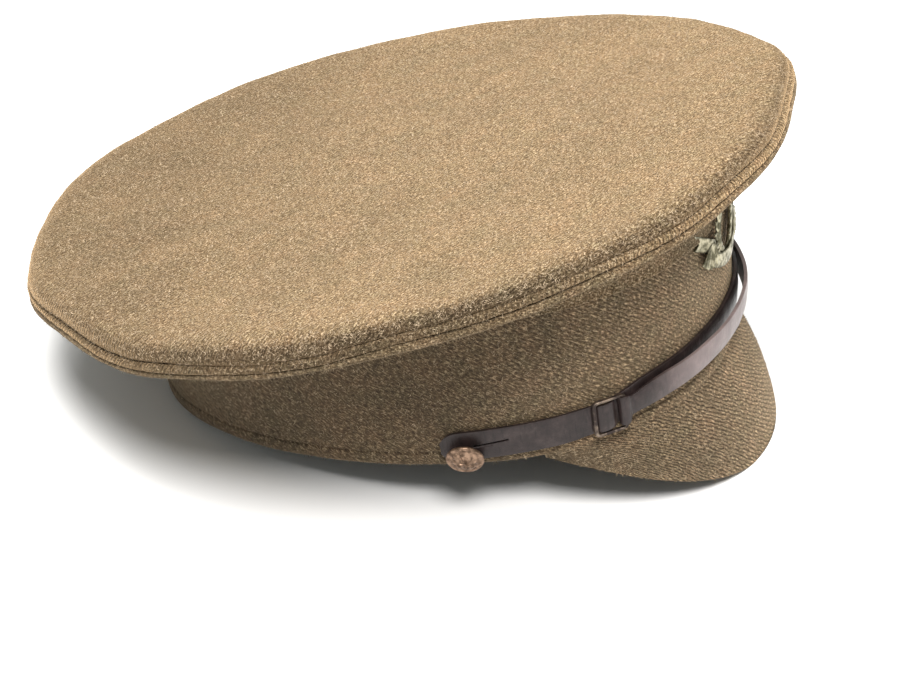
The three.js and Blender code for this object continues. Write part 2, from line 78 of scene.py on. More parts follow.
def fadeIn(x, start, length):
    return smooth((x - start) / length)


def fadeOut(x, end, length):
    return smooth((end - x) / length)


def bandPlan(angle):
    # the oval of the band from above, a little fuller at its corners and blunter in front
    filled = 1 + bandSize["squareness"] * (1 - np.cos(4 * angle)) / 2
    egg = 1 - bandSize["egg"] * np.cos(3 * angle)
    x = bandSize["halfLength"] * filled * egg * np.cos(angle)
    y = bandSize["halfWidth"] * filled * egg * np.sin(angle)
    return np.stack([x, y], -1)


def bandOutward(angle):
    step = 1e-3
    along = bandPlan(angle + step) - bandPlan(angle - step)
    along /= np.linalg.norm(along, axis=-1, keepdims=True)
    return np.stack([along[..., 1], -along[..., 0]], -1)


def pressedIn(angle, height):
    # how far the strap has pressed the front of the band in, most at the hem
    middle = bandSize["height"] / 2
    low = np.clip((height - bandSize["hemHeight"]) / (middle - bandSize["hemHeight"]), 0, 1)
    high = np.clip(height / middle - 1, 0, 1)
    depth = frontPress["atHem"] + (frontPress["atMiddle"] - frontPress["atHem"]) * low
    return depth * (1 - high) * shareOf(angle, 0, frontPress["width"])


def onBand(angle, outward, height):
    angle, outward, height = np.broadcast_arrays(angle, outward, height)
    drawn = frontPress["drawn"] * shareOf(angle, 0, frontPress["drawnWidth"])
    drawn = drawn * np.clip(height / frontPress["fullHeight"], 0, 1)
    flared = outward + bandSize["flare"] * height / bandSize["height"] - pressedIn(angle, height) - drawn
    plan = bandPlan(angle) + bandOutward(angle) * flared[..., None]
    return np.concatenate([plan, height[..., None]], -1)


def shareOf(angle, middle, width):
    away = angle - math.radians(middle)
    away = np.arctan2(np.sin(away), np.cos(away))
    return np.exp(-(away / math.radians(width)) ** 2)


def onCrown(angle, reach, outward, up):
    # reach 0 is the middle of the crown and 1 its rim seam; outward and up are from there
    angle, reach, outward, up = np.broadcast_arrays(angle, reach, outward, up)
    out, lift, drop = outward.copy(), np.zeros(angle.shape), np.zeros(angle.shape)
    for middle, width, moveOut, moveUp in rimBends:
        out = out + moveOut * shareOf(angle, middle, width)
        lift = lift + moveUp * shareOf(angle, middle, width)
    for middle, width, down in seamDrops:
        drop = drop + down * shareOf(angle, middle, width)
    x = reach * (crownSize["halfLength"] + out) * np.cos(angle)
    y = reach * (crownSize["halfWidth"] + out) * np.sin(angle)
    wave = crownSize["saddle"] * np.cos(2 * angle) + lift
    nearSeam = np.maximum(0, 1 - np.abs(up) / -crownSize["rimUnder"])
    z = up + reach * reach * (wave - drop * nearSeam)
    tip, lean = crownSize["tip"], crownSize["lean"]
    x, z = x * math.cos(tip) - z * math.sin(tip), x * math.sin(tip) + z * math.cos(tip)
    y, z = y * math.cos(lean) + z * math.sin(lean), z * math.cos(lean) - y * math.sin(lean)
    return np.stack([x + crownSize["forward"], y, z + crownSize["height"]], -1)


def stand(points):
    tip, shift = restPose["tip"], restPose["shift"]
    x = points[..., 0] * math.cos(tip) - points[..., 2] * math.sin(tip)
    z = points[..., 0] * math.sin(tip) + points[..., 2] * math.cos(tip)
    return np.stack([x + shift[0], points[..., 1] + shift[1], z + shift[2]], -1)


standMatrix = Matrix.Translation(restPose["shift"]) @ Matrix.Rotation(-restPose["tip"], 4, "Y")


def clearSelection():
    if bpy.context.object and bpy.context.object.mode != "OBJECT":
        bpy.ops.object.mode_set(mode="OBJECT")
    bpy.ops.object.select_all(action="DESELECT")


def named(name):
    piece = bpy.context.object
    piece.name = name
    piece.data.name = name
    return piece


def readAll(items, key, wide=1, kind=float):
    values = np.empty(len(items) * wide, dtype=kind)
    items.foreach_get(key, values)
    return values if wide == 1 else values.reshape(-1, wide)


def readPoints(piece):
    return readAll(piece.data.vertices, "co", 3)


def writePoints(piece, points):
    piece.data.vertices.foreach_set("co", np.ascontiguousarray(points).ravel())
    piece.data.update()


def editAll(piece):
    clearSelection()
    bpy.context.view_layer.objects.active = piece
    piece.select_set(True)
    bpy.ops.object.mode_set(mode="EDIT")
    bpy.ops.mesh.select_all(action="SELECT")


def leaveEdit():
    # all faces point outwards again
    bpy.ops.mesh.select_all(action="SELECT")
    bpy.ops.mesh.normals_make_consistent(inside=False)
    bpy.ops.object.mode_set(mode="OBJECT")


def finishWith(piece, *modifiers):
    clearSelection()
    bpy.context.view_layer.objects.active = piece
    piece.select_set(True)
    for kind, settings in modifiers:
        modifier = piece.modifiers.new(kind.title(), kind)
        for key, value in settings.items():
            setattr(modifier, key, value)
        bpy.ops.object.modifier_apply(modifier=modifier.name)
    bpy.ops.object.shade_smooth()
    return piece


def clothGrid(name, steps, rows, place, lay, shadeMarks=None, closed=False):
    # a grid whose across and along run from 0 to 1 and become a place on the cap, with the weave
    # laid on by lay(), and its painted light and shade, and how plainly its wales show, given by its marks
    # function
    clearSelection()
    bpy.ops.mesh.primitive_grid_add(x_subdivisions=steps, y_subdivisions=rows, size=1)
    piece = named(name)
    flat = readPoints(piece)
    across, along = flat[:, 0] + 0.5, flat[:, 1] + 0.5
    writePoints(piece, stand(place(across, along)))
    weave = lay(across, along)[readAll(piece.data.loops, "vertex_index", kind=np.int32)]
    piece.data.uv_layers[0].data.foreach_set("uv", np.ascontiguousarray(weave).ravel())
    piece.data.uv_layers[0].name = "weave"
    if shadeMarks:
        shade, show = np.broadcast_arrays(*shadeMarks(across, along), across)[:2]
        values = np.stack([shade, show, shade * 0, shade * 0 + 1], -1)
        layer = piece.data.color_attributes.new(name="shadeMarks", type="FLOAT_COLOR", domain="POINT")
        layer.data.foreach_set("color", np.ascontiguousarray(values).ravel())
    editAll(piece)
    if closed:
        bpy.ops.mesh.remove_doubles(threshold=1e-6)
    leaveEdit()
    return piece


def throughTable(table, share):
    # a smooth line through the rows of a table, by their place in it
    table = np.array(table, dtype=float)
    place = np.clip(share, 0, 1) * (len(table) - 1)
    low = np.clip(np.floor(place).astype(int), 0, len(table) - 2)
    part = (place - low)[..., None]
    before = table[np.maximum(low - 1, 0)]
    start, end = table[low], table[low + 1]
    after = table[np.minimum(low + 2, len(table) - 1)]
    bend = 2 * start + (end - before) * part
    bend = bend + (2 * before - 5 * start + 4 * end - after) * part ** 2
    return (bend + (3 * start - before - 3 * end + after) * part ** 3) / 2


def ripple(points, size, seed):
    return np.array([noise.noise(Vector(p) / size + Vector((seed, seed, seed))) for p in points])


def pushOut(piece, amount):
    # moves every point along its own normal
    normals = readAll(piece.data.vertex_normals, "vector", 3)
    writePoints(piece, readPoints(piece) + normals * amount[:, None])


def roughen(piece, waves, sunk=0.0):
    # makes a cloth uneven: each wave has a height, a size and a seed
    points = readPoints(piece)
    amount = 0
    for height, size, seed in waves:
        amount = amount + height * ripple(points, size, seed)
    pushOut(piece, amount - sunk)


def pressOnFloor(piece):
    points = readPoints(piece)
    points[:, 2] = np.maximum(points[:, 2], 0)
    writePoints(piece, points)


finer = ("SUBSURF", {"levels": 1, "render_levels": 1})


def thick(wall, offset=-1.0):
    return ("SOLIDIFY", {"thickness": wall, "offset": offset, "use_even_offset": True})


def rounded(width, segments):
    sharp = {"limit_method": "ANGLE", "angle_limit": math.radians(50)}
    return ("BEVEL", {"width": width, "segments": segments, **sharp})


def joinAs(name, parts):
    clearSelection()
    for part in parts:
        part.select_set(True)
    bpy.context.view_layer.objects.active = parts[0]
    bpy.ops.object.join()
    return named(name)


def newMaterial(name):
    material = bpy.data.materials.new(name)
    material.use_nodes = True
    return material, material.node_tree, material.node_tree.nodes["Principled BSDF"]


def fillNode(tree, node, inputs):
    # each input gets a number, a colour or the output of another node
    for key, value in inputs.items():
        socket = node.inputs[key]
        if isinstance(value, bpy.types.NodeSocket):
            tree.links.new(value, socket)
        elif socket.type == "RGBA":
            socket.default_value = (*value, 1)
        else:
            socket.default_value = value


def addNode(tree, kind, inputs=None, **settings):
    node = tree.nodes.new("ShaderNode" + kind)
    for key, value in settings.items():
        setattr(node, key, value)
    fillNode(tree, node, inputs or {})
    return node.outputs


def texture(tree, kind, vector, size, inputs=None, **settings):
    return addNode(tree, kind, {"Scale": 1 / size, **(inputs or {}), "Vector": vector}, **settings)


def ramp(tree, source, stops):
    node = tree.nodes.new("ShaderNodeValToRGB")
    tree.links.new(source, node.inputs["Fac"])
    colors = node.color_ramp.elements
    while len(colors) < len(stops):
        colors.new(0.5)
    for element, (position, color) in zip(colors, stops):
        element.position = position
        element.color = (*color, 1) if len(color) == 3 else (*color * 3, 1)  # one number is a grey
    return node.outputs["Color"]


def mixed(tree, blend, share, first, second):
    parts = {"Factor": share, "A": first, "B": second}
    outputs = addNode(tree, "Mix", parts, data_type="RGBA", blend_type=blend)
    return [output for output in outputs if output.type == "RGBA"][0]


def times(tree, first, second):
    return addNode(tree, "Math", {0: first, 1: second}, operation="MULTIPLY")["Value"]


def bumped(tree, height, size, below=None):
    # a bump, over the one below it if there is one
    inputs = {**size, "Height": height}
    if below:
        inputs["Normal"] = below
    return addNode(tree, "Bump", inputs)["Normal"]


def placeOf(tree):
    return addNode(tree, "TexCoord")["Object"]


def weaveOf(tree):
    return addNode(tree, "UVMap", uv_map="weave")["UV"]


def marksOf(tree):
    # red holds the painted light and shade of a piece, green how plainly its wales show or, on the
    # leather, how much painted highlight covers it
    shadeMarks = addNode(tree, "Attribute", attribute_name="shadeMarks")["Color"]
    return addNode(tree, "SeparateColor", {"Color": shadeMarks})


serge = {
    "walePitch": 0.00155, "wavesPerUnit": 20 / math.tau, "waleBump": {"Strength": 0.7, "Distance": 0.0005},
    "waleWave": {"Distortion": 4.5, "Detail": 2, "Detail Scale": 1.3},
    "hairSize": 0.0005, "hairStretch": 0.26, "hairNoise": {"Detail": 2, "Roughness": 0.7},
    "fleckSize": 0.00072, "fleckNoise": {"Detail": 2, "Roughness": 0.75}, "napHeight": 0.0006,
    "patchSize": 0.035, "patchNoise": {"Detail": 4, "Roughness": 0.6},
    "spotSize": 0.009, "spotNoise": {"Detail": 3, "Roughness": 0.6},
    "furrow": [(0.05, (0.30,)), (0.5, (1.0,)), (1.0, (1.2,))],
    "worn": [(0.3, (0.84, 0.85, 0.86)), (0.7, (1.16, 1.14, 1.10))],
    "mottled": [(0.3, (0.88, 0.94, 0.90)), (0.7, (1.12, 1.06, 1.03))],
    "tonePlaces": {"dark": 0.40, "middle": 0.485, "light": 0.55, "fleck": 0.63},
    "skin": {"Roughness": 0.95, "Specular IOR Level": 0.15},
}
khaki = {
    "top": {
        "dark": (0.032, 0.019, 0.010), "middle": (0.110, 0.072, 0.038), "light": (0.220, 0.152, 0.088),
        "fleck": (0.54, 0.42, 0.28), "hairs": 0.4, "nap": 0.9,
    },
    "side": {
        "dark": (0.040, 0.027, 0.017), "middle": (0.076, 0.053, 0.033), "light": (0.123, 0.086, 0.053),
        "fleck": (0.31, 0.232, 0.147), "hairs": 0.72, "nap": 0.6,
    },
}


def sergeCloth(name, tone, waleTurn, waleDepth, sheen):
    # napped twill: diagonal wales, hairs and flecks over them, and faint worn patches
    material, tree, cloth = newMaterial(name)
    place, shadeMarks = placeOf(tree), marksOf(tree)
    turn = {"Vector": weaveOf(tree), "Rotation": (0, 0, math.radians(waleTurn))}
    turned = addNode(tree, "Mapping", turn)["Vector"]
    scale = serge["walePitch"] * serge["wavesPerUnit"]
    wales = texture(tree, "TexWave", turned, scale, serge["waleWave"], bands_direction="X")["Fac"]
    combed = addNode(tree, "Mapping", {"Vector": turned, "Scale": (1, serge["hairStretch"], 1)})["Vector"]
    hairs = texture(tree, "TexNoise", combed, serge["hairSize"], serge["hairNoise"])["Fac"]
    flecks = texture(tree, "TexNoise", place, serge["fleckSize"], serge["fleckNoise"])["Fac"]
    patches = texture(tree, "TexNoise", place, serge["patchSize"], serge["patchNoise"])["Fac"]
    spots = texture(tree, "TexNoise", place, serge["spotSize"], serge["spotNoise"])["Fac"]
    parts = {"Factor": tone["hairs"], "A": flecks, "B": hairs}
    both = addNode(tree, "Mix", parts, data_type="FLOAT")["Result"]
    color = ramp(tree, both, [(at, tone[key]) for key, at in serge["tonePlaces"].items()])
    show = times(tree, shadeMarks["Green"], waleDepth)
    color = mixed(tree, "MULTIPLY", show, color, ramp(tree, wales, serge["furrow"]))
    color = mixed(tree, "MULTIPLY", 1.0, color, ramp(tree, patches, serge["worn"]))
    color = mixed(tree, "MULTIPLY", 1.0, color, ramp(tree, spots, serge["mottled"]))
    # painted light and shade: the red of the marks scales the colour
    color = mixed(tree, "MULTIPLY", 1.0, color, shadeMarks["Red"])
    waled = bumped(tree, times(tree, wales, show), serge["waleBump"])
    napped = bumped(tree, both, {"Strength": tone["nap"], "Distance": serge["napHeight"]}, waled)
    fillNode(tree, cloth, {"Base Color": color, "Normal": napped, **serge["skin"], **sheen})
    return material


wool = {
    "toneSize": 0.0016, "noise": {"Detail": 2, "Roughness": 0.7}, "darkAt": 0.35, "lightAt": 0.65,
    "skin": {"Roughness": 0.9, "Specular IOR Level": 0.2},
}


def napWool(name, dark, light):
    # loose fibres, each of its own tone
    material, tree, hair = newMaterial(name)
    tones = texture(tree, "TexNoise", placeOf(tree), wool["toneSize"], wool["noise"])["Fac"]
    color = ramp(tree, tones, [(wool["darkAt"], dark), (wool["lightAt"], light)])
    fillNode(tree, hair, {"Base Color": color, **wool["skin"]})
    return material


leather = {
    "tones": [
        (0.32, (0.014, 0.009, 0.0085)), (0.52, (0.026, 0.0165, 0.0155)), (0.74, (0.056, 0.039, 0.036)),
    ],
    "highlightGrey": (0.30, 0.245, 0.24), "rubSize": 0.006, "rubNoise": {"Detail": 6, "Roughness": 0.68},
    "shine": [(0.3, (0.46,)), (0.7, (0.32,))], "specular": 0.32,
    "pore": 0.0007, "poreBump": {"Strength": 0.4, "Distance": 0.0002},
    "crease": 0.0009, "creaseStretch": 0.16, "creaseNoise": {"Detail": 3}, "creaseShare": 0.7,
    "creaseTones": [(0.34, (0.55,)), (0.46, (1.0,))], "creaseBump": {"Strength": 0.5, "Distance": 0.0003},
}


def strapLeather(name):
    # old polished leather: pores, creases across the strap, rubbed patches
    material, tree, skin = newMaterial(name)
    place, shadeMarks = placeOf(tree), marksOf(tree)
    stretch = {"Vector": weaveOf(tree), "Scale": (1, leather["creaseStretch"], 1)}
    stretched = addNode(tree, "Mapping", stretch)["Vector"]
    pores = texture(tree, "TexVoronoi", place, leather["pore"], feature="DISTANCE_TO_EDGE")["Distance"]
    creases = texture(tree, "TexNoise", stretched, leather["crease"], leather["creaseNoise"])["Fac"]
    rubs = texture(tree, "TexNoise", place, leather["rubSize"], leather["rubNoise"])["Fac"]
    color, cracked = ramp(tree, rubs, leather["tones"]), ramp(tree, creases, leather["creaseTones"])
    color = mixed(tree, "MULTIPLY", leather["creaseShare"], color, cracked)
    # painted highlight: the marks make the leather paler, and mix in a pale grey, where it bows out in
    # front and catches the light
    color = mixed(tree, "MULTIPLY", 1.0, color, shadeMarks["Red"])
    color = mixed(tree, "MIX", shadeMarks["Green"], color, leather["highlightGrey"])
    grained = bumped(tree, pores, leather["poreBump"])
    creased = bumped(tree, creases, leather["creaseBump"], grained)
    fillNode(tree, skin, {
        "Base Color": color, "Roughness": ramp(tree, rubs, leather["shine"]), "Normal": creased,
        "Specular IOR Level": leather["specular"],
    })
    return material


metalWear = {
    "noise": {"Detail": 5, "Roughness": 0.6}, "rougher": 0.25, "metallic": 0.9,
    "pits": {"Strength": 0.35, "Distance": 0.0002},
}


def agedMetal(name, clean, tarnish, roughness, patchSize, low=0.42, high=0.6):
    # clean metal that shows through tarnish in patches
    material, tree, metal = newMaterial(name)
    patches = texture(tree, "TexNoise", placeOf(tree), patchSize, metalWear["noise"])["Fac"]
    dull = roughness + metalWear["rougher"]
    fillNode(tree, metal, {
        "Base Color": ramp(tree, patches, [(low, tarnish), (high, clean)]),
        "Roughness": ramp(tree, patches, [(low, (dull,)), (high, (roughness,))]),
        "Normal": bumped(tree, patches, metalWear["pits"]), "Metallic": metalWear["metallic"],
    })
    return material


warmSheen = {"Sheen Weight": 0.68, "Sheen Roughness": 0.45, "Sheen Tint": (1.0, 0.68, 0.38)}
coolSheen = {"Sheen Weight": 0.3, "Sheen Roughness": 0.45, "Sheen Tint": (0.95, 0.74, 0.50)}
topCloth = sergeCloth("topSerge", khaki["top"], 30, 0.35, warmSheen)
rimCloth = sergeCloth("rimSerge", khaki["top"], 20, 0.8, warmSheen)
quarterCloth = sergeCloth("quarterSerge", khaki["top"], 128, 0.5, coolSheen)
bandCloth = sergeCloth("bandSerge", khaki["side"], 128, 0.65, coolSheen)
peakCloth = sergeCloth("peakSerge", khaki["side"], 128, 1.0, coolSheen)
paleNap = napWool("paleNap", (0.10, 0.066, 0.036), (0.62, 0.48, 0.33))
duskNap = napWool("duskNap", (0.06, 0.043, 0.026), (0.42, 0.325, 0.215))
brownLeather = strapLeather("purpleBrownLeather")
slideMetal = agedMetal("brownedBrass", (0.20, 0.155, 0.12), (0.045, 0.034, 0.031), 0.36, 0.005, 0.46, 0.62)
buttonMetal = agedMetal("coppery", (0.30, 0.197, 0.135), (0.11, 0.070, 0.047), 0.36, 0.002, 0.40, 0.60)
badgeMetal = agedMetal("greyedBrass", (0.41, 0.375, 0.26), (0.12, 0.11, 0.065), 0.28, 0.003)
print("materials made")


frontFade = (1.4, 1.0)  # where it ends and its length, as in every fade


def litFrontShare(angle):
    # painted light: 1 round the front of the cap, where the light falls, and 0 round its back
    away = np.abs(np.arctan2(np.sin(angle), np.cos(angle)))
    return fadeOut(away, *frontFade)


def dress(piece, material, slot, *nodes):
    piece.data.materials.clear()
    piece.data.materials.append(material)
    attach(piece, "root")
    if nodes:
        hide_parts(*nodes)
    return piece


fibre = {  # what all fibres share; an outer face looks away from the middle of the cap
    "lengths": (0.45, 1.3), "widths": (0.6, 1.5), "sunk": 0.00003, "tipShare": 0.4,
    "middle": (0, 0, 0.03), "facing": 0.3,
}


def napOver(cloth, count, size, material, slot, seed, outside=False):
    # short straight fibres that lie on a cloth and stand off it a little
    draw = np.random.default_rng(seed)
    mesh = cloth.data
    normals = readAll(mesh.polygons, "normal", 3)
    wanted = readAll(mesh.polygons, "loop_total", kind=np.int32) == 4
    if outside:
        away = readAll(mesh.polygons, "center", 3) - stand(np.array([fibre["middle"]]))
        wanted &= (normals * away).sum(1) > fibre["facing"] * np.linalg.norm(away, axis=1)
    quads = np.nonzero(wanted)[0]
    areas = readAll(mesh.polygons, "area")[quads]
    quads = draw.choice(quads, size=count, p=areas / areas.sum())
    starts = readAll(mesh.polygons, "loop_start", kind=np.int32)[quads]
    corners = readAll(mesh.loops, "vertex_index", kind=np.int32)
    spots = readPoints(cloth)[corners[starts[:, None] + np.arange(4)]]
    u, v = draw.random((2, count, 1))
    near = spots[:, 0] * (1 - u) + spots[:, 1] * u
    root = near * (1 - v) + (spots[:, 3] * (1 - u) + spots[:, 2] * u) * v
    normal = normals[quads]
    lean = draw.normal(size=(count, 3))
    lean -= normal * (lean * normal).sum(1, keepdims=True)
    lean /= np.linalg.norm(lean, axis=1, keepdims=True)
    rise = np.radians(draw.uniform(size["low"], size["high"], (count, 1)))
    length = size["length"] * draw.uniform(*fibre["lengths"], (count, 1))
    width = size["width"] * draw.uniform(*fibre["widths"], (count, 1))
    way = lean * np.cos(rise) + normal * np.sin(rise)
    side = np.cross(way, normal)
    side *= width / 2 / np.linalg.norm(side, axis=1, keepdims=True)
    root = root - normal * fibre["sunk"]
    tip = root + way * length
    clearSelection()
    bpy.ops.mesh.primitive_plane_add(size=0.001)
    nap = named(cloth.name.rsplit("_", 1)[0] + "_nap")
    finishWith(nap, ("ARRAY", {"count": count, "relative_offset_displace": (1.5, 0, 0)}))
    point = side * fibre["tipShare"]
    blades = np.stack([root - side, root + side, tip - point, tip + point], 1)
    writePoints(nap, blades.reshape(-1, 3))
    return dress(nap, material, slot)


topSize = {
    "rise": 0.0063, "flatInset": 0.009, "flatShare": 0.6, "sag": 0.0022, "roll": 0.014, "wall": 0.002,
    "steps": 192, "rows": 40, "waves": [(0.0009, 0.045, 3.1), (0.0003, 0.011, 7.7)], "fibres": 90000,
}
# painted light and shade on the top cloth: darker at the back, paler in front, darker on the turn
topShade = {
    "backDark": 0.38, "back": (-0.01, 0.13), "frontPale": 0.07, "front": (0.01, 0.07),
    "turnShade": 0.66, "lessInFront": 0.16, "turn": (0.67, 0.09), "wales": 0.6,
}

rollTable = [  # outward and up from the rim seam, from the flat of the top down into the seam
    (-0.0090, 0.0063), (-0.0056, 0.0061), (-0.0027, 0.0053), (-0.0008, 0.0040),
    (-0.0001, 0.0026), (-0.0003, 0.0016), (-0.0013, 0.0011), (-0.0028, 0.0009),
]


def topPlace(across, along):
    # along 0 is the middle, flatShare the edge of the flat, 1 inside the seam
    angle = math.tau * across
    flat = topSize["flatShare"]
    reach = np.clip(along / flat, 0, 1)
    roll = throughTable(rollTable, (along - flat) / (1 - flat))
    sag = topSize["sag"] * (1 - reach ** 2)
    onFlat = along < flat
    outward = np.where(onFlat, -topSize["flatInset"], roll[:, 0])
    up = np.where(onFlat, topSize["rise"] - sag, roll[:, 1])
    return onCrown(angle, reach, outward, up)


def topLay(across, along):
    angle = math.tau * across
    flat = topSize["flatShare"]
    reach = np.clip(along / flat, 0, 1)
    over = np.clip((along - flat) / (1 - flat), 0, 1) * topSize["roll"]
    x = (reach * (crownSize["halfLength"] - topSize["flatInset"]) + over) * np.cos(angle)
    y = (reach * (crownSize["halfWidth"] - topSize["flatInset"]) + over) * np.sin(angle)
    return np.stack([x, y], -1)


def topMarks(across, along):
    # painted light and shade: the back is darker and the front paler, as the light falls, and the cloth is
    # darker where it turns over the rim into shade
    x = topLay(across, along)[:, 0]
    back = topShade["backDark"] * fadeIn(-x, *topShade["back"])
    front = topShade["frontPale"] * fadeIn(x, *topShade["front"])
    turnShade = topShade["turnShade"] - topShade["lessInFront"] * litFrontShare(math.tau * across)
    turned = fadeIn(along, *topShade["turn"])
    return (1 - back + front) * (1 - turnShade * turned), topShade["wales"]


crownTop = clothGrid(
    "crown_top_cloth", topSize["steps"], topSize["rows"], topPlace, topLay, topMarks, closed=True,
)
finishWith(crownTop, finer)
roughen(crownTop, topSize["waves"])
topNap = {"length": 0.0012, "width": 0.00013, "low": 3, "high": 26}
napOver(crownTop, topSize["fibres"], topNap, paleNap, "top_cloth", 11)
finishWith(crownTop, thick(topSize["wall"]))
dress(crownTop, topCloth, "top_cloth", "crown_top")
print("crown top made")

beadSize = {
    "steps": 288, "rows": 14, "sheetLength": 0.86, "sheetWidth": 0.008, "fibres": 9000,
    "waves": [(0.0002, 0.004, 21.0), (0.0001, 0.0015, 5.5)],
}
beadShade = {"shade": 0.36, "frontPale": 0.62, "wales": 0.35, "frontWales": 0.45}
beadTable = [  # outward and up from the rim seam: the upper of the two rolls round the rim
    (-0.0018, -0.0017), (-0.0003, -0.0018), (0.0009, -0.0014), (0.0012, -0.0005),
    (0.0009, 0.0004), (0.0, 0.0009), (-0.0016, 0.0010),
]


def beadPlace(across, along):
    spots = throughTable(beadTable + beadTable[:1], along)
    return onCrown(math.tau * across, 1.0, spots[:, 0], spots[:, 1])


def evenLay(length, width):
    # the weave laid evenly over a sheet of that length and width
    return lambda across, along: np.stack([across * length, along * width], -1)


def beadMarks(across, along):
    # painted shade: the bead is dark round the back, in shade, and paler round the front, where the light
    # falls
    front = litFrontShare(math.tau * across)
    shade = beadShade["shade"] + beadShade["frontPale"] * front
    return shade, beadShade["wales"] + beadShade["frontWales"] * front


rimBead = clothGrid(
    "crown_bead_cloth", beadSize["steps"], beadSize["rows"], beadPlace,
    evenLay(beadSize["sheetLength"], beadSize["sheetWidth"]), beadMarks, closed=True,
)
finishWith(rimBead, finer)
roughen(rimBead, beadSize["waves"])
rimNap = {"length": 0.0010, "width": 0.00012, "low": 6, "high": 45}
napOver(rimBead, beadSize["fibres"], rimNap, paleNap, "rim_cloth", 12)
dress(rimBead, rimCloth, "rim_cloth", "crown_welt")
print("rim bead made")

quarterSize = {
    "wall": 0.0016, "overhang": 0.001, "lap": 0.0003, "climb": 0.45, "leastClimb": 0.002, "flat": 0.44,
    "inward": 0.012, "steps": 72, "rows": 36, "turnShare": 0.36, "seamGap": 0.00035, "sheetLength": 0.18,
    "sheetWidth": 0.06, "waves": [(0.0005, 0.03, 11.0), (0.00015, 0.006, 4.0)], "fibres": 7000,
}
quarterShade = {"shade": 0.55, "turnPale": 0.12, "turn": (0.68, 0.08), "frontPale": 0.36, "wales": 0.5}
quarterPanels = [
    ("quarter_front_left", 0, 90, 31), ("quarter_back_left", 90, 180, 32),
    ("quarter_back_right", 180, 270, 33), ("quarter_front_right", 270, 360, 34),
]
turnTable = [  # outward and up, where a quarter turns up round the rim and is its lower roll
    (-0.0050, -0.0050), (-0.0028, -0.0053), (-0.0010, -0.0054), (0.0004, -0.0052), (0.0011, -0.0046),
    (0.0013, -0.0038), (0.0012, -0.0031), (0.0008, -0.0024), (0.0001, -0.0020), (-0.0010, -0.0018),
]


def quarterPlace(fromDeg, toDeg):
    gap = quarterSize["seamGap"] / 2 / crownSize["halfWidth"]
    start, end = math.radians(fromDeg) + gap, math.radians(toDeg) - gap

    def place(across, along):
        # a slope that rises from the band and flares out, then the turn round the rim
        angle = start + (end - start) * across
        foot = onBand(angle, quarterSize["overhang"], bandSize["height"] + quarterSize["lap"])
        out, up = turnTable[0]
        under = onCrown(angle, 1.0, out, up)
        inward = onCrown(angle, 1.0, out - quarterSize["inward"], up) - under
        inward /= np.linalg.norm(inward, axis=-1, keepdims=True)
        climb = quarterSize["climb"] * (under[:, 2] - foot[:, 2])
        climb = np.maximum(quarterSize["leastClimb"], climb)
        lift = foot + np.stack([climb * 0, climb * 0, climb], -1)
        span = np.linalg.norm(under - foot, axis=-1, keepdims=True)
        flat = under + inward * span * quarterSize["flat"]
        t = np.clip(along / (1 - quarterSize["turnShare"]), 0, 1)[:, None]
        slope = (1 - t) ** 3 * foot + 3 * t * (1 - t) ** 2 * lift
        slope = slope + 3 * t * t * (1 - t) * flat + t ** 3 * under
        turned = (along - 1 + quarterSize["turnShare"]) / quarterSize["turnShare"]
        spots = throughTable(turnTable, turned)
        rolled = onCrown(angle, 1.0, spots[:, 0], spots[:, 1])
        return np.where((turned > 0)[:, None], rolled, slope)
    return place


def quarterMarks(fromDeg, toDeg):
    def shadeMarks(across, along):
        # painted shade: the quarters are dark under the rim, a little paler where they turn up round it,
        # and paler round the front, where the light falls
        front = litFrontShare(np.radians(fromDeg + (toDeg - fromDeg) * across))
        shade = quarterShade["shade"] + quarterShade["turnPale"] * fadeIn(along, *quarterShade["turn"])
        return shade + quarterShade["frontPale"] * front, quarterShade["wales"]
    return shadeMarks


quarterNap = {"length": 0.0011, "width": 0.00012, "low": 4, "high": 35}
for name, fromDeg, toDeg, seed in quarterPanels:
    panel = clothGrid(
        name + "_cloth", quarterSize["steps"], quarterSize["rows"],
        quarterPlace(fromDeg, toDeg), evenLay(quarterSize["sheetLength"], quarterSize["sheetWidth"]),
        quarterMarks(fromDeg, toDeg),
    )
    finishWith(panel, finer)
    roughen(panel, quarterSize["waves"])
    napOver(panel, quarterSize["fibres"], quarterNap, duskNap, "quarter_cloth", seed)
    finishWith(panel, thick(quarterSize["wall"]))
    dress(panel, quarterCloth, "quarter_cloth", name)
print("quarters made")

bandCut = {
    "steps": 256, "rows": 60, "sheetLength": 0.62, "seamDepth": 0.0005, "seamWidth": 0.0009,
    "waves": [(0.0004, 0.025, 5.3), (0.00012, 0.007, 9.0)], "fibres": 26000,
}
bandShade = {
    "shade": 0.68, "frontPale": 0.88, "middlePale": 0.55, "middle": (0.55, 0.4),
    "wales": 0.2, "frontWales": 0.8,
}
bandTable = [  # outward and up: the hem is turned up inside and stands a little proud
    (-0.0026, 0.0004), (-0.0014, 0.0), (-0.0001, -0.0001), (0.0004, 0.0003), (0.0006, 0.0012),
    (0.0006, 0.0028), (0.0005, 0.0044), (0.0000, 0.0051), (0.0001, 0.0062), (0.0002, 0.016),
    (0.0002, 0.028), (0.0001, 0.040), (0.0, 0.050), (-0.0001, 0.0555), (-0.0008, 0.0565),
    (-0.0020, 0.0565), (-0.0026, 0.0560), (-0.0026, 0.046), (-0.0026, 0.030), (-0.0026, 0.014),
    (-0.0026, 0.005),
]


def bandPlace(across, along):
    spots = throughTable(bandTable + bandTable[:1], along)
    return onBand(math.tau * across, spots[:, 0], spots[:, 1])


def bandLay(across, along):
    spots = throughTable(bandTable + bandTable[:1], along)
    return np.stack([across * bandCut["sheetLength"], spots[:, 1]], -1)


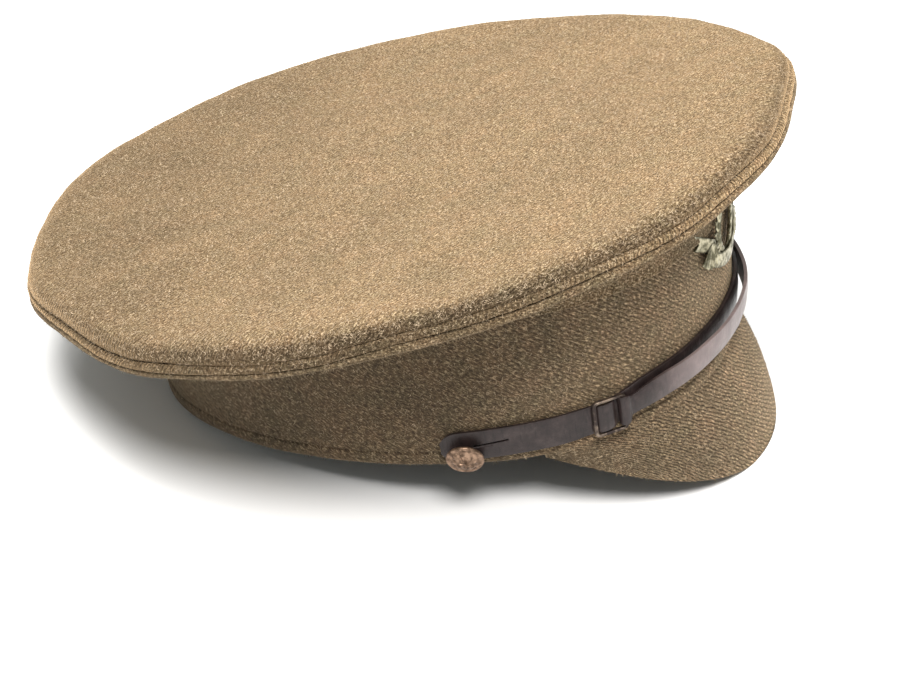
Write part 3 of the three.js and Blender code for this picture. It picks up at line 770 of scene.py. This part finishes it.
def bandMarks(across, along):
    # painted light and shade: the band is dark, paler round the front where the light falls and palest in
    # the middle of the front, and its wales show only there
    front = litFrontShare(math.tau * across)
    away = np.abs((across + 0.5) % 1 - 0.5) * math.tau
    middle = fadeOut(away, *bandShade["middle"])
    shade = bandShade["shade"] + bandShade["frontPale"] * front + bandShade["middlePale"] * middle
    return shade, bandShade["wales"] + bandShade["frontWales"] * front


bandStrip = clothGrid(
    "band_cloth", bandCut["steps"], bandCut["rows"], bandPlace, bandLay, bandMarks, closed=True,
)
finishWith(bandStrip, finer)
points = readPoints(bandStrip)
backSeam = np.exp(-(points[:, 1] / bandCut["seamWidth"]) ** 2) * (points[:, 0] < 0)
roughen(bandStrip, bandCut["waves"], bandCut["seamDepth"] * backSeam)
pressOnFloor(bandStrip)
bandNap = {"length": 0.0013, "width": 0.00012, "low": 2, "high": 28}
napOver(bandStrip, bandCut["fibres"], bandNap, duskNap, "band_cloth", 41, outside=True)
pressOnFloor(bpy.data.objects["band_nap"])
dress(bandStrip, bandCloth, "band_cloth", "band")
print("band made")

peakSize = {
    "halfSpan": math.radians(56), "depth": 0.039, "slope": math.radians(72.5), "wall": 0.0026,
    "seamOut": 0.0004, "seamDown": 0.0003, "tuck": 0.0011, "tucked": (0.8, 0.2), "fullness": 1.4,
    "cornerDepth": 0.0022, "cornerEnd": 0.0004, "cornerPower": 24, "belly": 0.0022, "layRadius": 0.098,
    "steps": 120, "rows": 30, "edge": 0.0008, "fibres": 8000,
}
peakShade = {
    "shade": 1.15, "frontPale": 1.2, "lipPale": 0.25, "lip": (0.22, 0.2), "wales": 1.0,
    "sideTurn": 1.9, "cornerTurn": 0.75,
}


def peakPlace(across, along):
    # along 0 is the lip and 1 the seam, which is tucked up behind the hem of the band
    angle = (across - 0.5) * 2 * peakSize["halfSpan"]
    side = np.minimum(1, np.abs(2 * across - 1))
    full = (1 - side * side) ** peakSize["fullness"]
    sharper = (peakSize["cornerEnd"] - peakSize["cornerDepth"]) * side ** peakSize["cornerPower"]
    corner = peakSize["cornerDepth"] + sharper
    depth = corner + (peakSize["depth"] - corner) * full
    down = (1 - along) * depth
    slope = peakSize["slope"]
    bow = peakSize["belly"] * full * np.sin(math.pi * (1 - along))
    seamOut = peakSize["seamOut"] - along * pressedIn(angle, 0)
    outward = seamOut + down * math.cos(slope) + bow * math.sin(slope)
    height = -peakSize["seamDown"] - down * math.sin(slope) + bow * math.cos(slope)
    height = height + peakSize["tuck"] * fadeIn(along, *peakSize["tucked"])
    plan = bandPlan(angle) + bandOutward(angle) * outward[:, None]
    return np.concatenate([plan, height[:, None]], -1)


def peakLay(across, along):
    angle = (across - 0.5) * 2 * peakSize["halfSpan"]
    return np.stack([angle * peakSize["layRadius"], along * peakSize["depth"]], -1)


def peakMarks(across, along):
    # painted light: palest in the middle, where the light falls, and paler along the lip
    turn = peakShade["sideTurn"] * (across - 0.5) + peakShade["cornerTurn"] * np.sign(across - 0.5)
    lip = peakShade["lipPale"] * fadeOut(along, *peakShade["lip"])
    return peakShade["shade"] + peakShade["frontPale"] * litFrontShare(turn) + lip, peakShade["wales"]


peakShell = clothGrid(
    "peak_cloth", peakSize["steps"], peakSize["rows"], peakPlace, peakLay, peakMarks,
)
peakNap = {"length": 0.0011, "width": 0.00012, "low": 3, "high": 30}
napOver(peakShell, peakSize["fibres"], peakNap, duskNap, "peak_cloth", 51)
finishWith(peakShell, thick(peakSize["wall"]), rounded(peakSize["edge"], 3), finer)
pressOnFloor(peakShell)
pressOnFloor(bpy.data.objects["peak_nap"])
dress(peakShell, peakCloth, "peak_cloth", "peak")
print("peak made")

strapSize = {
    "wall": 0.0013, "clear": 0.0003, "offBand": 0.0005, "lean": 0.0009, "leanWidth": 16, "steps": 420,
    "rows": 10, "dome": 0.00045, "bend": 0.0005, "lineStep": 0.0001, "endRound": 0.0056,
    "endNarrow": 1.8, "endFull": 0.96, "reach": 0.0965, "wide": 0.0114, "widthEase": 0.4,
    "middleEase": 1.8, "edge": 0.00045, "wave": 0.00014, "waveSize": 0.009,
}
strapShade = {"plain": 0.88, "paler": 2.2, "greyer": 0.45, "front": (math.radians(36), 0.3)}
slideSize = {
    "angle": 42.95, "width": 0.0130, "height": 0.0144, "sideBar": 0.0015, "rail": 0.001,
    "thickness": 0.0017, "corner": 0.002, "edge": 0.0005,
}
strapMiddles = [  # degrees from the front, and how high the middle of both straps runs
    (0, 0.0172), (16, 0.0171), (24, 0.0162), (31, 0.0155), (36, 0.0143), (40, 0.0123),
    (43, 0.0114), (46, 0.0108), (52, 0.0098), (64, 0.0090), (80, 0.0072),
]
# degrees round the band, and the width of each strap
innerWidths = [(-80, 0.0114), (-50, 0.0114), (-43, 0.0104), (-36, 0.0110), (80, 0.0110)]
outerWidths = [
    (-43, 0.0112), (-39.5, 0.0112), (-38.8, 0.0074), (-37.4, 0.0072), (-35.5, 0.0082), (-32, 0.0091),
    (-22, 0.0087), (-8, 0.0087), (12, 0.0098), (36, 0.0108), (43, 0.0104), (50, 0.0114), (80, 0.0114),
]
innerOff = strapSize["offBand"] + strapSize["clear"] + strapSize["wall"] / 2
outerOff = innerOff + strapSize["wall"] + strapSize["clear"]
slideSeat = outerOff - strapSize["wall"] / 2 + strapSize["clear"]
overBar = slideSeat + slideSize["thickness"] + strapSize["clear"] + strapSize["wall"] / 2

innerRoute = [  # degrees round the band, and how far the middle of the leather stands off it
    (-74.6, innerOff), (-60, innerOff), (-48, innerOff), (-45.8, innerOff + 0.0002),
    (-45.0, innerOff + 0.0017), (-43.7, innerOff + 0.0022), (-42.5, innerOff + 0.0019),
    (-41.7, innerOff + 0.0007), (-41.2, innerOff + 0.0001), (-39, innerOff),
    (0, innerOff), (40.6, innerOff),
]
outerRoute = [
    (-40.8, outerOff + 0.0001), (-40.65, overBar - 0.0008), (-40.2, overBar), (-39.5, overBar),
    (-38.8, overBar - 0.0012), (-37.4, outerOff + 0.0013), (-30, outerOff + 0.0017),
    (-22, outerOff + 0.0024), (-12, outerOff + 0.0031), (0, outerOff + 0.0031), (12, outerOff + 0.0023),
    (22, outerOff + 0.0011), (31, outerOff + 0.0007), (35.4, outerOff + 0.0013), (38.4, overBar),
    (41.0, overBar), (43.2, outerOff), (45.2, innerOff + 0.00015), (48, innerOff + 0.0001),
    (60, innerOff + 0.00005), (74.6, innerOff),
]


def bell(reach, count):
    # steps to both sides of a spot, and the weight of each
    steps = np.linspace(-reach, reach, count)
    weights = np.exp(-steps ** 2)
    return steps, weights / weights.sum()


def eased(table, degrees, spread):
    # the value of a table at an angle, with its corners eased
    table = np.array(table)
    steps, weights = bell(1.6, 9)
    total = np.zeros(np.shape(degrees))
    for step, weight in zip(steps * spread, weights):
        total = total + weight * np.interp(degrees + step, table[:, 0], table[:, 1])
    return total


def strapMiddle(angle):
    return eased(strapMiddles, np.abs(np.degrees(angle)), strapSize["middleEase"])


def strapLine(route):
    # even steps along a route, its corners rounded as the leather rounds them
    table = np.array(route)
    spots = np.stack([np.radians(table[:, 0]) * strapSize["reach"], table[:, 1]], -1)
    far = np.concatenate([[0], np.cumsum(np.linalg.norm(np.diff(spots, axis=0), axis=1))])
    fine = np.arange(0, far[-1], strapSize["lineStep"])
    spread = round(strapSize["bend"] / strapSize["lineStep"])
    weights = bell(1.8, 2 * spread + 1)[1]
    lines = []
    for column in spots.T:
        line = np.pad(np.interp(fine, far, column), spread, mode="reflect", reflect_type="odd")
        lines.append(np.convolve(line, weights, "valid"))
    return np.stack([lines[0] / strapSize["reach"], lines[1]], -1), far[-1]


def strapPiece(name, route, widths, side, lean, seed):
    # side is 1 where the buttoned end is the left one; the strap with a lean bows out in front
    line, length = strapLine(route)

    def place(across, along):
        at = across * (len(line) - 1)
        low = np.minimum(at.astype(int), len(line) - 2)
        angle, off = (line[low] + (line[low + 1] - line[low]) * (at - low)[:, None]).T
        share = along - 0.5
        width = eased(widths, np.degrees(angle), strapSize["widthEase"])
        fromEnd = (1 - across if side > 0 else across) * length
        curve = strapSize["endRound"]
        short = np.clip(1 - fromEnd / curve, 0, 1)
        narrowed = 1 - np.sqrt(1 - strapSize["endFull"] * short ** 2)
        width = width - strapSize["endNarrow"] * curve * narrowed
        off = off + lean * share * np.exp(-(np.degrees(angle) / strapSize["leanWidth"]) ** 2)
        off = off + strapSize["dome"] * (1 - 4 * share ** 2)
        return onBand(angle, off, strapMiddle(angle) + share * width)

    def shadeMarks(across, along):
        # painted highlight: the leather is paler and greyer where it bows out across the front and catches
        # the light
        angle = line[(across * (len(line) - 1)).astype(int), 0]
        front = (lean > 0) * fadeOut(np.abs(angle), *strapShade["front"])
        return strapShade["plain"] + strapShade["paler"] * front, strapShade["greyer"] * front

    lay = evenLay(length, strapSize["wide"])
    piece = clothGrid(name, strapSize["steps"], strapSize["rows"], place, lay, shadeMarks)
    roughen(piece, [(strapSize["wave"], strapSize["waveSize"], seed)])
    return finishWith(piece, thick(strapSize["wall"], 0.0), rounded(strapSize["edge"], 3))


def setOnBand(piece, angle, off, rise, lean):
    # takes a piece made flat, facing +Z with +Y up, to its place on the band
    outward = bandOutward(np.array(angle))
    out = Vector((outward[0], outward[1], 0))
    face = out * math.cos(lean) - Vector((0, 0, math.sin(lean)))
    up = out * math.sin(lean) + Vector((0, 0, math.cos(lean)))
    side = up.cross(face)
    turned = Matrix((side, up, face)).transposed().to_4x4()
    spot = Vector(onBand(angle, off, rise))
    piece.data.transform(standMatrix @ Matrix.Translation(spot) @ turned)
    piece.data.update()
    return piece


flareLean = math.atan2(bandSize["flare"], bandSize["height"])
slitSize = {
    "length": 0.0125, "width": 0.0008, "through": 8, "angle": 65.4, "rise": 0.0004,
    "tilt": math.radians(7),
}
buttonSize = {
    "angle": 70.2, "rise": 0.0059, "droop": math.radians(19.5), "standOff": 0.00325, "sides": 96,
    "petals": 8, "petalStart": (0, 0.0012), "petalEnd": (0.0044, 0.0008), "ring": 0.0047,
    "ringWidth": 0.00022, "domeEdge": (0.0053, 0.0006), "domeFoot": (0.0024, 0.0003),
    "relief": 0.00028, "wear": 0.00022, "wearSize": 0.0011,
}


def slitIn(strap, side):
    # the slit through which the strap was buttoned
    clearSelection()
    bpy.ops.mesh.primitive_cube_add(size=1)
    cutter = named("slit_cutter")
    editAll(cutter)
    depth = slitSize["through"] * strapSize["wall"]
    bpy.ops.transform.resize(value=(slitSize["length"], slitSize["width"], depth))
    bpy.ops.transform.rotate(value=side * slitSize["tilt"], orient_axis="Z", center_override=(0, 0, 0))
    bpy.ops.object.mode_set(mode="OBJECT")
    angle = math.radians(side * slitSize["angle"])
    rise = float(strapMiddle(np.array(angle))) + slitSize["rise"]
    setOnBand(cutter, angle, innerOff, rise, flareLean)
    finishWith(strap, ("BOOLEAN", {"operation": "DIFFERENCE", "object": cutter, "solver": "EXACT"}))
    bpy.data.objects.remove(cutter)
    # the cut leather has no marks of its own and gets those of plain leather
    layer = strap.data.color_attributes["shadeMarks"].data
    values = readAll(layer, "color", 4)
    values[values[:, 2] > 0] = (strapShade["plain"], 0, 0, 1)
    layer.foreach_set("color", values.ravel())
    return strap


for name, route, widths, side, lean, seed in (
    ("strap_inner", innerRoute, innerWidths, -1, 0, 6.1),
    ("strap_outer", outerRoute, outerWidths, 1, strapSize["lean"], 9.4),
):
    strap = slitIn(strapPiece(name + "_leather", route, widths, side, lean, seed), side)
    dress(strap, brownLeather, "strap_leather", name)
print("straps made")


def slideFrame(name):
    clearSelection()
    bpy.ops.mesh.primitive_plane_add(size=1)
    piece = named(name)
    editAll(piece)
    bpy.ops.transform.resize(value=(slideSize["width"], slideSize["height"], 1))
    bpy.ops.mesh.bevel(offset=slideSize["corner"], segments=6, affect="VERTICES")
    bpy.ops.mesh.inset(thickness=slideSize["rail"])
    hole = slideSize["width"] - 2 * slideSize["rail"]
    narrower = (slideSize["width"] - 2 * slideSize["sideBar"]) / hole
    bpy.ops.transform.resize(value=(narrower, 1, 1), center_override=(0, 0, 0))
    bpy.ops.mesh.delete(type="FACE")
    bpy.ops.mesh.select_all(action="SELECT")
    bpy.ops.mesh.extrude_region_move(TRANSFORM_OT_translate={"value": (0, 0, slideSize["thickness"])})
    leaveEdit()
    return finishWith(piece, rounded(slideSize["edge"], 4))


buttonTable = [  # radius and height, from the shank to the top of the dome
    (0.0016, 0.0), (0.0016, 0.0009), (0.0056, 0.0010), (0.0066, 0.0015), (0.0068, 0.0022),
    (0.0064, 0.0029), (0.0057, 0.0030), (0.0053, 0.0027), (0.0044, 0.0033), (0.0031, 0.0039),
    (0.0018, 0.0043), (0.0007, 0.0044),
]


def domedButton(name, seed):
    clearSelection()
    bpy.ops.mesh.primitive_circle_add(
        vertices=buttonSize["sides"], radius=buttonTable[0][0], fill_type="NGON",
    )
    piece = named(name)
    editAll(piece)
    for (oldRadius, oldHeight), (radius, height) in zip(buttonTable, buttonTable[1:]):
        bpy.ops.mesh.extrude_region_move(TRANSFORM_OT_translate={"value": (0, 0, height - oldHeight)})
        scale = radius / oldRadius
        bpy.ops.transform.resize(value=(scale, scale, 1), center_override=(0, 0, 0))
    bpy.ops.mesh.poke()
    leaveEdit()
    finishWith(piece, finer)
    points = readPoints(piece)
    radius = np.hypot(points[:, 0], points[:, 1])
    around = np.arctan2(points[:, 1], points[:, 0])
    onDome = fadeOut(radius, *buttonSize["domeEdge"]) * fadeIn(points[:, 2], *buttonSize["domeFoot"])
    petal = np.cos(buttonSize["petals"] * around) * fadeIn(radius, *buttonSize["petalStart"])
    petal = petal * fadeOut(radius, *buttonSize["petalEnd"])
    ringed = np.exp(-((radius - buttonSize["ring"]) / buttonSize["ringWidth"]) ** 2)
    points[:, 2] += onDome * buttonSize["relief"] * (petal - ringed)
    points[:, 2] += onDome * buttonSize["wear"] * ripple(points, buttonSize["wearSize"], seed)
    writePoints(piece, points)
    return piece


for name, side, seed in (("right", -1, 2.5), ("left", 1, 8.5)):
    slidePiece = slideFrame("slide_" + name + "_frame")
    slideAngle = math.radians(side * slideSize["angle"])
    slideRise = float(strapMiddle(np.array(slideAngle)))
    setOnBand(slidePiece, slideAngle, slideSeat, slideRise, flareLean)
    dress(slidePiece, slideMetal, "slide_metal", "slide_" + name)
    buttonPiece = domedButton("button_" + name + "_dome", seed)
    buttonAngle = math.radians(side * buttonSize["angle"])
    setOnBand(buttonPiece, buttonAngle, buttonSize["standOff"], buttonSize["rise"], buttonSize["droop"])
    dress(buttonPiece, buttonMetal, "button_metal", "button_" + name)
print("slides and buttons made")

badgeSize = {
    "ringAcross": 0.0080, "ringUp": 0.0116, "ringThick": 0.0011, "leaves": 9, "first": -66, "last": 80,
    "thick": 0.0008, "bend": 0.068, "rise": 0.0545, "lean": math.radians(5), "standOff": 0.0014,
    "flatten": 0.7,
}
leaf = {
    "length": 0.0066, "width": 0.0033, "smaller": 0.25, "stem": 0.3, "point": 0.00012, "broad": 0.8,
    "blunt": 0.7, "dome": 0.0006, "vein": 0.00026, "midrib": 0.14, "midribDeep": 2, "sideVeins": 5,
    "veinSharp": 3, "outer": {"turn": math.radians(54), "lift": 0.0014, "everyOther": 0.0001},
    "inner": {"turn": math.radians(118), "lift": 0.0018, "onward": 0.1, "size": 0.85},
}


def badgeSheet(columns, rows, shape, side):
    # a thin plate whose u and v become a place on one half of the badge
    clearSelection()
    bpy.ops.mesh.primitive_grid_add(x_subdivisions=columns, y_subdivisions=rows, size=1)
    plate = named("plate")
    flat = readPoints(plate)
    x, y, z = shape(flat[:, 0] + 0.5, flat[:, 1] * 2)
    writePoints(plate, np.stack([side * x, y, z], -1))
    return finishWith(plate, ("SOLIDIFY", {"thickness": badgeSize["thick"], "offset": -side}))


def badgeLeaf(around, heading, lift, size):
    # pointed, with a sunk midrib and side veins
    def shape(t, s):
        half = leaf["width"] / 2 * np.sin(math.pi * t ** leaf["broad"]) ** leaf["blunt"] + leaf["point"]
        x, y = (t - leaf["stem"]) * leaf["length"] * size, s * half * size
        sideVeins = np.maximum(0, np.cos(math.tau * (t * leaf["sideVeins"] - np.abs(s))))
        veins = leaf["midribDeep"] * np.exp(-(s / leaf["midrib"]) ** 2)
        veins = veins + sideVeins ** leaf["veinSharp"] * np.abs(s)
        turn = around + heading
        return (
            badgeSize["ringAcross"] * math.cos(around) + x * math.cos(turn) - y * math.sin(turn),
            badgeSize["ringUp"] * math.sin(around) + x * math.sin(turn) + y * math.cos(turn),
            lift + leaf["dome"] * (1 - s * s) - leaf["vein"] * veins,
        )
    return shape


ribbon = {  # where each part of the blank ribbon starts, how far it goes, and its half width
    "middle": {
        "reach": 0.0135, "low": -0.0128, "climb": 0.0042, "half": 0.0029, "front": 0.0030,
        "back": 0.0011, "dome": 0.0004,
    },
    "tail": {
        "start": 0.0100, "reach": 0.0145, "low": -0.0052, "climb": 0.0085, "half": 0.0031,
        "front": 0.0014, "wave": 0.0006, "cut": 0.24,
    },
    "fan": {
        "hub": (0.0125, -0.0006), "turn": math.radians(-72), "spread": math.radians(38), "start": 0.0015,
        "reach": 0.0088, "scallop": 0.0005, "folds": 3, "fold": 0.0011, "front": 0.0022,
    },
}


def ribbonMiddle(t, s):
    # half of the band of the scroll, bowed up towards its end
    size = ribbon["middle"]
    y = size["low"] + size["climb"] * t ** 2 + size["half"] * s
    return size["reach"] * t, y, size["front"] - size["back"] * t ** 2 + size["dome"] * (1 - s * s)


def ribbonTail(t, s):
    # swallow-cut, rising outwards behind the scroll
    size = ribbon["tail"]
    reach = t * (1 - size["cut"] * (1 - np.abs(s)))
    wave = size["wave"] * np.sin(reach * math.tau)
    y = size["low"] + size["climb"] * reach + size["half"] * s
    return size["start"] + size["reach"] * reach, y, size["front"] + wave


def ribbonFan(t, s):
    # pleats that open downwards under the end of the scroll
    size = ribbon["fan"]
    turn = size["turn"] + size["spread"] * s
    fold = np.abs(np.cos(size["folds"] * math.pi * s))
    reach = size["start"] + (size["reach"] + size["scallop"] * fold) * t
    x, y = size["hub"][0] + reach * np.cos(turn), size["hub"][1] + reach * np.sin(turn)
    return x, y, size["front"] + size["fold"] * fold * t


def badgeParts():
    outer, inner = leaf["outer"], leaf["inner"]
    parts = []
    for side in (1, -1):
        for i in range(badgeSize["leaves"]):
            share = i / (badgeSize["leaves"] - 1)
            degrees = badgeSize["first"] + (badgeSize["last"] - badgeSize["first"]) * share
            around = math.radians(degrees)
            size = 1 - leaf["smaller"] * share
            lift = outer["lift"] + outer["everyOther"] * (i % 2)
            for shape in (
                badgeLeaf(around, outer["turn"], lift, size),
                badgeLeaf(around + inner["onward"], inner["turn"], inner["lift"], size * inner["size"]),
            ):
                parts.append(badgeSheet(16, 10, shape, side))
        parts.append(badgeSheet(32, 8, ribbonMiddle, side))
        parts.append(badgeSheet(32, 8, ribbonTail, side))
        parts.append(badgeSheet(12, 64, ribbonFan, side))
    clearSelection()
    bpy.ops.mesh.primitive_torus_add(
        major_radius=badgeSize["ringAcross"], minor_radius=badgeSize["ringThick"],
        major_segments=96, minor_segments=12,
    )
    ring = named("ring")
    points = readPoints(ring)
    points[:, 1] *= badgeSize["ringUp"] / badgeSize["ringAcross"]
    points[:, 2] += badgeSize["ringThick"]
    writePoints(ring, points)
    bpy.ops.object.shade_smooth()
    return parts + [ring]


wreath = joinAs("badge_wreath", badgeParts())
points = readPoints(wreath)
points[:, 2] *= badgeSize["flatten"]
reach = badgeSize["bend"] + points[:, 2]
turn = points[:, 0] / badgeSize["bend"]
bent = [reach * np.sin(turn), points[:, 1], reach * np.cos(turn) - badgeSize["bend"]]
writePoints(wreath, np.stack(bent, -1))
setOnBand(wreath, 0.0, badgeSize["standOff"], badgeSize["rise"], badgeSize["lean"])
dress(wreath, badgeMetal, "badge_metal", "badge")
print("badge made")

studio = {
    "floorSize": 14, "floor": {"Base Color": (0.80, 0.80, 0.80), "Roughness": 0.9},
    "sky": {"Color": (0.94, 0.98, 0.95), "Strength": 0.44},
}
clearSelection()
bpy.ops.mesh.primitive_plane_add(size=studio["floorSize"])
floor = named("floor")
floorPaint, tree, surface = newMaterial("paleFloor")
fillNode(tree, surface, studio["floor"])
floor.data.materials.append(floorPaint)

world = bpy.data.worlds.new("studio")
bpy.context.scene.world = world
world.use_nodes = True
fillNode(world.node_tree, world.node_tree.nodes["Background"], studio["sky"])
bpy.context.scene.view_settings.view_transform = "Standard"


def addLight(name, energy, place, softness, color):
    # a distant lamp that shines from that place to the middle of the floor
    data = bpy.data.lights.new(name, "SUN")
    data.energy = energy
    data.angle = math.radians(softness)
    data.color = color
    lamp = bpy.data.objects.new(name, data)
    bpy.context.scene.collection.objects.link(lamp)
    lamp.location = place
    lamp.rotation_euler = Vector(place).to_track_quat("Z", "Y").to_euler()


addLight("overhead", 2.55, (-0.05, -0.06, 1), 34, (1.0, 0.99, 0.97))
addLight("front", 4.5, (0.22, -0.5, 1), 24, (1.0, 0.98, 0.96))

cameraSize = {
    "lens": 112, "sensor": 36, "place": (0.308048, -0.826276, 0.586908),
    "turn": (56.9381, -0.4388, 19.7509),
}
cameraData = bpy.data.cameras.new("camera")
cameraData.lens = cameraSize["lens"]
cameraData.sensor_width = cameraSize["sensor"]
camera = bpy.data.objects.new("camera", cameraData)
bpy.context.scene.collection.objects.link(camera)
camera.location = cameraSize["place"]
camera.rotation_euler = [math.radians(v) for v in cameraSize["turn"]]
bpy.context.scene.camera = camera
print("floor, light and camera set")
